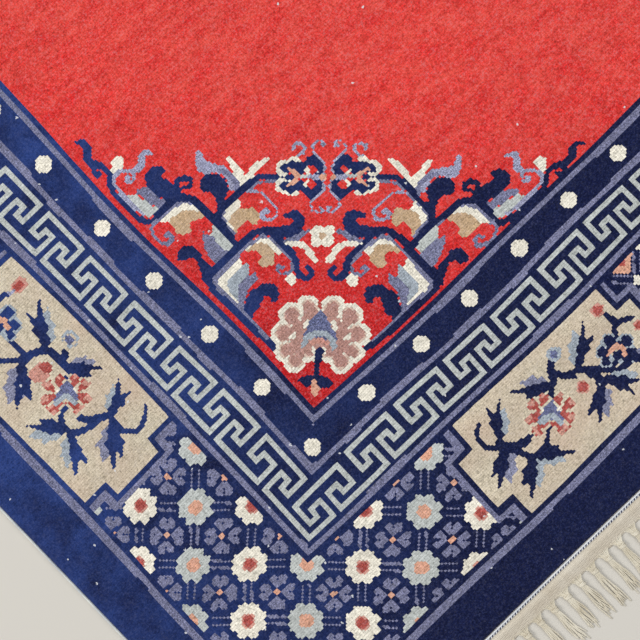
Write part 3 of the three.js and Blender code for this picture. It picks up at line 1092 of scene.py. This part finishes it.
# The wool: what its dyes turn into with age and wear, and the painted light and shade on them
WORN_AND_SHEEN_BLUE = (42, 66, 132)
AGED_CREAM = (206, 178, 156)
SHADED_RED = (112, 14, 20)
SHEEN_STREAK_RED = (252, 104, 88)
BLUE_TIP_HIGHLIGHT = (96, 112, 170)
PALE_GLINT = (210, 206, 218)
LINT = (226, 228, 232)
SHEEN_WAY = (0.7156, -0.689, 0)  # painted sheen: the blue is lighter to the left of the picture than to the right
FROM_MIDDLE = (1 / 1.2, 1 / 1.5, 0)  # brings the rug's edge to about 1


class Wool(Nodes):
    """The pile's nodes, with what its looks go by."""

    def __init__(self, name):
        super().__init__(name)
        self.dye = self.add("ShaderNodeVertexColor", {"layer_name": "dye"}).outputs["Color"]
        self.red, self.green, self.blue = self.add("ShaderNodeSeparateColor", Color=self.dye).outputs
        self.dark = self.span(self.red, 0.01, 0.07, 1, 0)
        self.light = self.span(self.green, 0.2, 0.5)
        self.reds = self.product(self.span(self.red, 0.5, 0.6), self.span(self.green, 0.02, 0.06, 1, 0))
        knots = self.add("ShaderNodeUVMap", {"uv_map": "Knots"}).outputs[0]
        grid = self.times(knots, (ACROSS, ALONG, 1))
        self.across, self.along = self.split(self.vector("FRACTION", grid))[:2]
        cell = self.vector("FLOOR", grid)
        own = self.add("ShaderNodeTexWhiteNoise", {"noise_dimensions": "2D"}, Vector=cell)
        self.own = own.outputs["Value"]

    def off_middle(self, part):
        """How far a place in a knot is from the knot's middle, one way."""
        return self.math("ABSOLUTE", self.math("SUBTRACT", part, 0.5))


def spun(n):
    """The dye as each knot has it, with bands of dye lots, and fibres of more than one shade."""
    shade = n.span(n.own, 0, 1, 0.88, 1.12)
    band = n.span(n.noise(n.times(n.place, (3, 22, 1)), 1), 0.35, 0.65, 0.93, 1.07)
    lows, highs = n.span(n.light, 0, 1, 0.6, 0.8), n.span(n.light, 0, 1, 1.36, 1.16)
    fibres = n.span(n.noise(n.place, 560, 2, 0.75), 0.34, 0.66, lows, highs)
    # The mid blues are spun from light and dark wool together
    blues = n.span(n.math("SUBTRACT", n.blue, n.red), 0.09, 0.14)
    heather = n.span(n.noise(n.place, 700, 1, 0.6), 0.38, 0.62, 0.55, 1.45)
    heather = n.span(blues, 0, 1, 1, heather)
    # Rows of knots lie close along the weft, with a painted shade line between one row and the next
    rows = n.span(n.off_middle(n.along), 0.3, 0.5, 1.04, 0.84)
    return n.multiply(n.dye, n.product(shade, band, n.product(fibres, heather, rows)))


def worn_and_sheen(n, colour):
    """Dark blue rubbed lighter in clouds of wear, with a painted sheen that makes it lighter towards the
    left, and cream that has aged.
    """
    broad, narrow = n.noise(n.place, 6.5, 3, 0.6), n.noise(n.place, 24, 4, 0.65)
    patches = n.math("ADD", n.product(broad, 0.55), n.product(narrow, 0.45))
    # painted sheen: more of the lighter blue towards the left of the picture
    sheen_slant = n.span(n.vector("DOT_PRODUCT", n.place, SHEEN_WAY), -0.1, 0.4, 1, 0.06)
    rubbed_and_sheen = n.product(n.span(patches, 0.38, 0.6, 0.08, 0.92), n.dark, sheen_slant)
    colour = n.mix(rubbed_and_sheen, colour, paint(WORN_AND_SHEEN_BLUE))
    creams = n.product(n.light, n.span(n.math("SUBTRACT", n.red, n.blue), 0.18, 0.2))
    aged = n.product(creams, n.span(n.noise(n.place, 14, 3), 0.4, 0.7, 0, 0.55))
    return n.mix(aged, colour, paint(AGED_CREAM))


def painted_pile_light(n, colour):
    """Painted shade that deepens the red near the border, and painted sheen in paler streaks along the
    pile's lay towards the middle.
    """
    middle = n.vector("LENGTH", n.times(n.place, FROM_MIDDLE))
    # painted shade: the red is darkened near the border
    border_shade = n.product(n.span(middle, 0.76, 1, 0, 0.24), n.reds)
    colour = n.mix(border_shade, colour, paint(SHADED_RED))
    # painted sheen: paler streaks along the pile's lay, fading out near the border
    streaks = n.noise(n.times(n.place, (26, 60, 1)), 1, 4, 0.7)
    pale = n.product(n.span(streaks, 0.3, 0.75, 0.1, 0.7), n.reds, n.span(middle, 0.72, 0.98, 1, 0.08))
    return n.mix(pale, colour, paint(SHEEN_STREAK_RED))


def painted_glints_and_pits(n, colour):
    """Painted highlights on fibre tips that catch the light, and painted glints and painted shade in the
    pits, lighter and darker from knot to knot.
    """
    # painted highlight on the dark blue's fibre tips
    shine = n.span(n.noise(n.place, 410, 2, 0.8), 0.5, 0.68, 0, 0.14)
    colour = n.mix(n.product(shine, n.span(n.dark, 0, 1, 0.2, 1)), colour, paint(BLUE_TIP_HIGHLIGHT))
    speck = n.noise(n.place, 310, 2, 0.75)
    # painted glints, mostly on the dyes other than the dark blue
    glint = n.product(n.span(speck, 0.5, 0.72, 0, 0.16), n.span(n.dark, 0, 1, 1, 0.2))
    colour = n.mix(glint, colour, paint(PALE_GLINT))
    # painted shade in the pits between the fibres
    return n.multiply(colour, n.span(speck, 0.3, 0.48, 0.6, 1.03))


def linty(n, colour):
    """Scattered specks of lint."""
    drift = n.add("ShaderNodeTexNoise", Scale=300.0, Vector=n.place).outputs["Color"]
    bent = n.vector("ADD", n.place, n.times(drift, (0.006, 0.006, 0)))
    cells = n.add("ShaderNodeTexVoronoi", {"voronoi_dimensions": "2D"}, Vector=bent, Scale=26.0).outputs
    near = n.span(cells["Distance"], 0.028, 0.042, 1, 0)
    chosen = n.add("ShaderNodeSeparateColor", Color=cells["Color"]).outputs[0]
    chance = n.math("ADD", chosen, n.noise(n.place, 7))
    some = n.math("GREATER_THAN", chance, n.span(n.red, 0.3, 0.6, 1.3, 1.45))
    return n.mix(n.product(near, some, 0.85), colour, paint(LINT))


def tufts(n):
    """Each knot is a small round-topped block."""
    hump = n.product(*(n.span(n.off_middle(part), 0.25, 0.5, 1, 0) for part in (n.across, n.along)))
    height = n.math("ADD", n.product(hump, 0.6), n.product(n.own, 0.5))
    height = n.math("ADD", height, n.product(n.noise(n.place, 900, 1), 0.7))
    n.bump(height, 0.7, 0.0009)


def pile_material():
    n = Wool("wool_pile")
    colour = spun(n)
    for change in (worn_and_sheen, painted_pile_light, painted_glints_and_pits, linty):
        colour = change(n, colour)
    n.surface(colour, 0.92, 0.16, 0.04)
    n.shader.inputs["Sheen Roughness"].default_value = 0.45
    tufts(n)
    return n.material


def yarn_material(name, colour, shade):
    n = Nodes(name)
    tone = n.span(n.noise(n.place, 35, 3), 0.3, 0.7)
    fibre = n.noise(n.times(n.place, (1500, 700, 900)), 1)
    mixed = n.mix(tone, paint(colour), paint(shade))
    n.surface(n.multiply(mixed, n.span(fibre, 0.3, 0.7, 0.82, 1.1)), 0.9, 0.2, 0.15)
    n.bump(fibre, 0.5, 0.0004)
    return n.material


TUBE_SIDES = 5


def tube(path, radii, vertices, faces):
    """Adds a closed tube along a path, by its radii."""
    ahead = np.gradient(path, axis=0)
    ahead /= np.linalg.norm(ahead, axis=1)[:, None]
    side = np.cross(ahead, (0, 0, 1.0))
    side /= np.linalg.norm(side, axis=1)[:, None] + 1e-12
    over = np.cross(side, ahead)
    turn = np.linspace(0, 2 * np.pi, TUBE_SIDES, endpoint=False)[None, :, None]
    ring = side[:, None, :] * np.cos(turn) + over[:, None, :] * np.sin(turn)
    base = sum(len(v) for v in vertices)
    vertices.append((path[:, None, :] + ring * radii[:, None, None]).reshape(-1, 3))
    for a in range(base, base + (len(path) - 1) * TUBE_SIDES, TUBE_SIDES):
        b = a + TUBE_SIDES
        for s in range(TUBE_SIDES):
            t = (s + 1) % TUBE_SIDES
            faces.append((a + s, b + s, b + t, a + t))
    first = range(base, base + TUBE_SIDES)
    faces.append(tuple(first))
    faces.append(tuple(s + (len(path) - 1) * TUBE_SIDES for s in reversed(first)))


# The fringe

YARNS = 9  # yarns in one bunch
YARN_FLOOR = 0.0002  # no yarn is lower
YARN_RADIUS = 0.0009
# How far along a bunch its points are, where 0 is its root
BUNCH = np.array([-0.05, 0.03, 0.07, 0.12, 0.17, 0.25, 0.36, 0.48, 0.6, 0.72, 0.84, 0.93, 1.0])
BUNCH_SPREAD = np.interp(
    BUNCH, (-0.05, 0.07, 0.12, 0.2, 0.6, 1), (0.0095, 0.0034, 0.0026, 0.0030, 0.0056, 0.0066))
BUNCH_HEIGHT = np.interp(
    BUNCH, (-0.05, 0.04, 0.1, 0.15, 0.3, 1), (0.0016, 0.0022, 0.0040, 0.0034, 0.0026, 0.0012))
WINDS = 3  # turns of yarn round the knot
WIND_RADIUS = 0.0011
WIND_WIDTH = 0.0046
WIND_MIDDLE = 0.0036
WIND_HEIGHT = 0.0026


def bunch(index, end, vertices, faces):
    """One bunch of warp ends: drawn together in a knot, then loose."""
    x = -WIDTH / 2 + (index + 0.5) * WIDTH / STRANDS
    length = STRAND_LENGTH - STRAND_SPREAD * scatter(index, 3 + end)
    lean = STRAND_LEAN * (2 * scatter(index, 7 + end) - 1)
    root = end_y(x, end) + end * (GAP + STRIP_WIDTH)
    loose = np.clip((BUNCH - 0.15) / 0.5, 0, 1)
    radii = np.interp(BUNCH, (-0.05, 0.9, 1), (1, 1, 0.7)) * YARN_RADIUS
    for k in range(YARNS):
        across = (k - (YARNS - 1) / 2) / ((YARNS - 1) / 2)
        layer = 0.5 + 0.5 * np.cos(k * 2.4)
        reach = 1 - 0.2 * rng.random()
        phase, swing = rng.uniform(0, 6.3), rng.uniform(0.0005, 0.0021)
        sway = loose * swing * np.sin(6 * BUNCH + phase)
        px = x + lean * np.clip(BUNCH, 0, 1) ** 2 + across * BUNCH_SPREAD + sway
        py = root + end * length * BUNCH * np.where(BUNCH > 0.2, reach, 1)
        lift = 0.0003 * np.sin(9 * BUNCH + phase) * loose
        pz = BUNCH_HEIGHT + layer * 0.0008 * np.clip(1 - BUNCH, 0, 1) + lift
        tube(np.stack([px, py, pz], 1), radii, vertices, faces)
    t = np.linspace(0, 2 * np.pi, 9)
    for turn in range(WINDS):
        s = 0.085 + 0.028 * turn
        px = x + lean * s**2 + WIND_WIDTH * np.cos(t)
        py = root + end * length * (s + 0.012 * np.sin(t + turn))
        pz = WIND_MIDDLE + WIND_HEIGHT * np.sin(t)
        tube(np.stack([px, py, pz], 1), np.full(len(t), WIND_RADIUS), vertices, faces)


def fringe_piece(name, end, material):
    vertices, faces = [], []
    for index in range(STRANDS):
        bunch(index, end, vertices, faces)
    vertices = np.concatenate(vertices)
    vertices[:, 2] = np.maximum(vertices[:, 2], YARN_FLOOR)
    return new_piece(name, vertices, faces, [material])


# The flat-woven strip between the pile and the fringe

STRIP_ROWS = 16
STRIP_STEP = 0.0061
STRIP_RIBS = 7
STRIP_SINK = 0.0004
RIB_HEIGHT = 0.00035
RIB_END = 0.97  # how far across the strip the ribs go
STRIP_EDGE = 0.0016  # the height where the fringe begins
STRIP_RISE = 0.0045  # how far the strip climbs towards the pile
STRIP_CLIMB = 0.009  # over what distance


def strip_top(away):
    """The height of the strip at a distance from the pile's edge."""
    return STRIP_HEIGHT + STRIP_RISE * np.clip(1 - away / STRIP_CLIMB, 0, 1) ** 1.5


def strip_surface(end):
    count = int(WIDTH / STRIP_STEP)
    x = np.linspace(-WIDTH / 2, WIDTH / 2, count + 1)
    t = np.linspace(0, 1, STRIP_ROWS)[:, None]
    near = end_y(x, end) + end * GAP
    ragged = 0.0006 * np.sin(x * 900) + 0.0005 * np.sin(x * 331 + 1)
    y = near + end * t * (STRIP_WIDTH + ragged)
    ribs = RIB_HEIGHT * np.sin(t * np.pi * 2 * STRIP_RIBS)
    z = strip_top(t * STRIP_WIDTH) - STRIP_SINK + ribs * (t < RIB_END) + 0 * y
    z[-1] = STRIP_EDGE
    return np.stack([np.broadcast_to(x, y.shape), y, z], 2)


def strip_piece(name, end, material):
    top = strip_surface(end)
    bottom = top * (1, 1, 0) + (0, 0, 0.0001)
    vertices = np.concatenate([top.reshape(-1, 3), bottom.reshape(-1, 3)])
    number = np.arange(top.shape[0] * top.shape[1]).reshape(top.shape[:2])
    half = number.size
    faces = []
    for low, high in zip(number, number[1:]):
        for quad in zip(low, low[1:], high[1:], high):
            faces.append(quad)
            faces.append(tuple(half + q for q in quad[::-1]))
    loop = [*number[0], *number[1:, -1], *number[-1, -2::-1], *number[-2:0:-1, 0]]
    for a, b in zip(loop, loop[1:] + loop[:1]):
        faces.append((b, a, half + a, half + b))
    if end < 0:
        faces = [f[::-1] for f in faces]
    return new_piece(name, vertices, faces, [material])


BEADS = (480, 620, 1)  # beads of the weave to a metre, each way
CLEAR_EDGE = (0.011, 0.016)  # how far out from the pile the weave's shade sets in


def weave_material():
    """Weft-faced cotton, whose beads stand half a step aside from row to row, with painted shade between
    them that is stronger away from the pile.
    """
    n = Nodes("woven_cotton")
    parts = n.split(n.times(n.place, BEADS))
    shift = n.product(n.math("MODULO", n.math("FLOOR", parts[1]), 2), 0.5)
    column = n.math("ADD", parts[0], shift)
    waves = [n.product(n.math("SINE", n.product(part, 2 * math.pi)), 0.5) for part in (column, parts[1])]
    bead = n.math("ADD", *waves)
    tone = n.span(n.noise(n.place, 40, 3), 0.3, 0.7)
    colour = n.mix(tone, paint((242, 233, 216)), paint((226, 214, 194)))
    far = n.math("ABSOLUTE", n.split(n.place)[1])
    outer_shade = n.span(far, *(LENGTH / 2 + edge for edge in CLEAR_EDGE), 0.3, 0.85)
    # painted shade between the beads, stronger further out from the pile
    between = n.product(n.span(bead, -1, 0.4, 1, 0), outer_shade)
    n.surface(n.mix(between, colour, paint((96, 86, 76))), 0.92, 0.2)
    n.bump(bead, 0.6, 0.0006)
    return n.material


# The two twisted rows on the strip: how far out, one full turn, and the radius
PALE_ROW = (0.0028, 0.0042, 0.0012)
DOTTED_ROW = (0.0056, 0.0046, 0.0011)
ROW_TRIM = 0.002


def twined_piece(name, end, row, materials):
    """Two yarns twisted round each other along an end."""
    offset, pitch, radius = row
    x = np.arange(-WIDTH / 2 + ROW_TRIM, WIDTH / 2 - ROW_TRIM, pitch / 6)
    vertices, faces, owners = [], [], []
    for k in range(2):
        turn = 2 * np.pi * x / pitch + k * np.pi
        y = end_y(x, end) + end * (offset + 0.55 * radius * np.cos(turn))
        z = strip_top(offset - GAP) + 0.6 * radius + 0.55 * radius * np.sin(turn)
        tube(np.stack([x, y, z], 1), np.full(len(x), radius * 0.8), vertices, faces)
        owners += [k % len(materials)] * (len(faces) - len(owners))
    piece = new_piece(name, np.concatenate(vertices), faces, materials)
    piece.data.polygons.foreach_set("material_index", owners)
    return piece


# The overcast cord along a long side

WRAP = 0.0032  # one turn of the overcasting yarn
CORD_SIDES = 10
CORD_TRIM = 0.0005


def cord_piece(name, sign, material):
    count = round(3 * LENGTH / WRAP) + 1
    y = np.linspace(-LENGTH / 2 + CORD_TRIM, LENGTH / 2 - CORD_TRIM, count)[:, None]
    turn = np.linspace(0, 2 * np.pi, CORD_SIDES, endpoint=False)
    ridge = 0.5 + 0.5 * np.cos(2 * np.pi * (y / WRAP) + sign * turn)
    loose = 0.04 * np.sin(y * 190) + 0.03 * np.sin(y * 77 + 1)
    radius = 0.86 + 0.14 * ridge + loose * 0.3
    px = side_x(y, sign) + sign * (GAP + CORD_WIDTH / 2) + np.cos(turn) * radius * CORD_WIDTH / 2
    pz = CORD_HEIGHT / 2 + np.sin(turn) * radius * CORD_HEIGHT / 2
    vertices = np.stack([px, np.repeat(y, CORD_SIDES, 1), pz], 2).reshape(-1, 3)
    faces = []
    for a in range(0, len(vertices) - CORD_SIDES, CORD_SIDES):
        for s in range(CORD_SIDES):
            t = (s + 1) % CORD_SIDES
            faces.append((a + s, a + t, a + CORD_SIDES + t, a + CORD_SIDES + s))
    faces.append(tuple(range(CORD_SIDES - 1, -1, -1)))
    faces.append(tuple(range(len(vertices) - CORD_SIDES, len(vertices))))
    return new_piece(name, vertices, faces, [material])


FLOOR = (212, 208, 200)
FLOOR_REACH = 40.0
SURROUND = 0.42  # strength of the white light from all round


def stage_floor():
    n = Nodes("floor")
    n.shader.inputs["Base Color"].default_value = paint(FLOOR)
    n.shader.inputs["Roughness"].default_value = 0.8
    corners = [(x * FLOOR_REACH, y * FLOOR_REACH, 0) for x, y in ((-1, -1), (1, -1), (1, 1), (-1, 1))]
    floor = into_scene("floor", new_mesh("floor", corners, [(0, 1, 2, 3)], [n.material]))


def light(name, place, aim, size, power, colour):
    data = bpy.data.lights.new(name, "AREA")
    data.shape = "DISK"
    data.size = size
    data.energy = power
    data.color = colour
    lamp = into_scene(name, data)
    lamp.location = place
    lamp.rotation_euler = (Vector(aim) - Vector(place)).to_track_quat("-Z", "Y").to_euler()


def studio():
    world = bpy.context.scene.world or bpy.data.worlds.new("world")
    bpy.context.scene.world = world
    world.use_nodes = True
    background = world.node_tree.nodes["Background"].inputs
    background["Color"].default_value = (1, 1, 1, 1)
    background["Strength"].default_value = SURROUND
    # From the upper left of the picture, which lies along -X and +Y
    light("key", (-5.4, 2.2, 5.0), (-0.4, -0.6, 0), 3.4, 275, (1, 0.98, 0.95))
    light("fill", (1.5, -3.2, 3.0), (-0.4, -0.8, 0), 3.0, 44, (0.96, 0.98, 1))
    light("top", (0, 0.6, 4.2), (0, 0, 0), 3.5, 36, (1, 1, 1))
    bpy.context.scene.view_settings.view_transform = "Standard"


def build():
    pile = pile_piece(whole_chart(), pile_material())
    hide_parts("rug_body")
    cotton = yarn_material("fringe_cotton", (236, 230, 214), (210, 200, 178))
    wrap = yarn_material("selvedge_yarn", (226, 229, 224), (190, 196, 202))
    white = yarn_material("twined_white", (246, 247, 248), (226, 230, 236))
    blue = yarn_material("twined_blue", (40, 50, 96), (26, 34, 74))
    weave = weave_material()
    extras = []
    for sign, side in ((-1, "left"), (1, "right")):
        cord = cord_piece("selvedge_cord_" + side, sign, wrap)
        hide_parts("selvedge_" + side)
        extras.append(cord)
    for end, word in ((-1, "front"), (1, "back")):
        fringe = fringe_piece("fringe_yarn_" + word, end, cotton)
        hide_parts("fringe_" + word)
        strip = strip_piece("kilim_" + word, end, weave)
        pale = twined_piece("twining_pale_" + word, end, PALE_ROW, [white])
        dotted = twined_piece("twining_dotted_" + word, end, DOTTED_ROW, [white, blue])
        extras += [fringe, strip, pale, dotted]


make_camera()
build()
stage_floor()
studio()
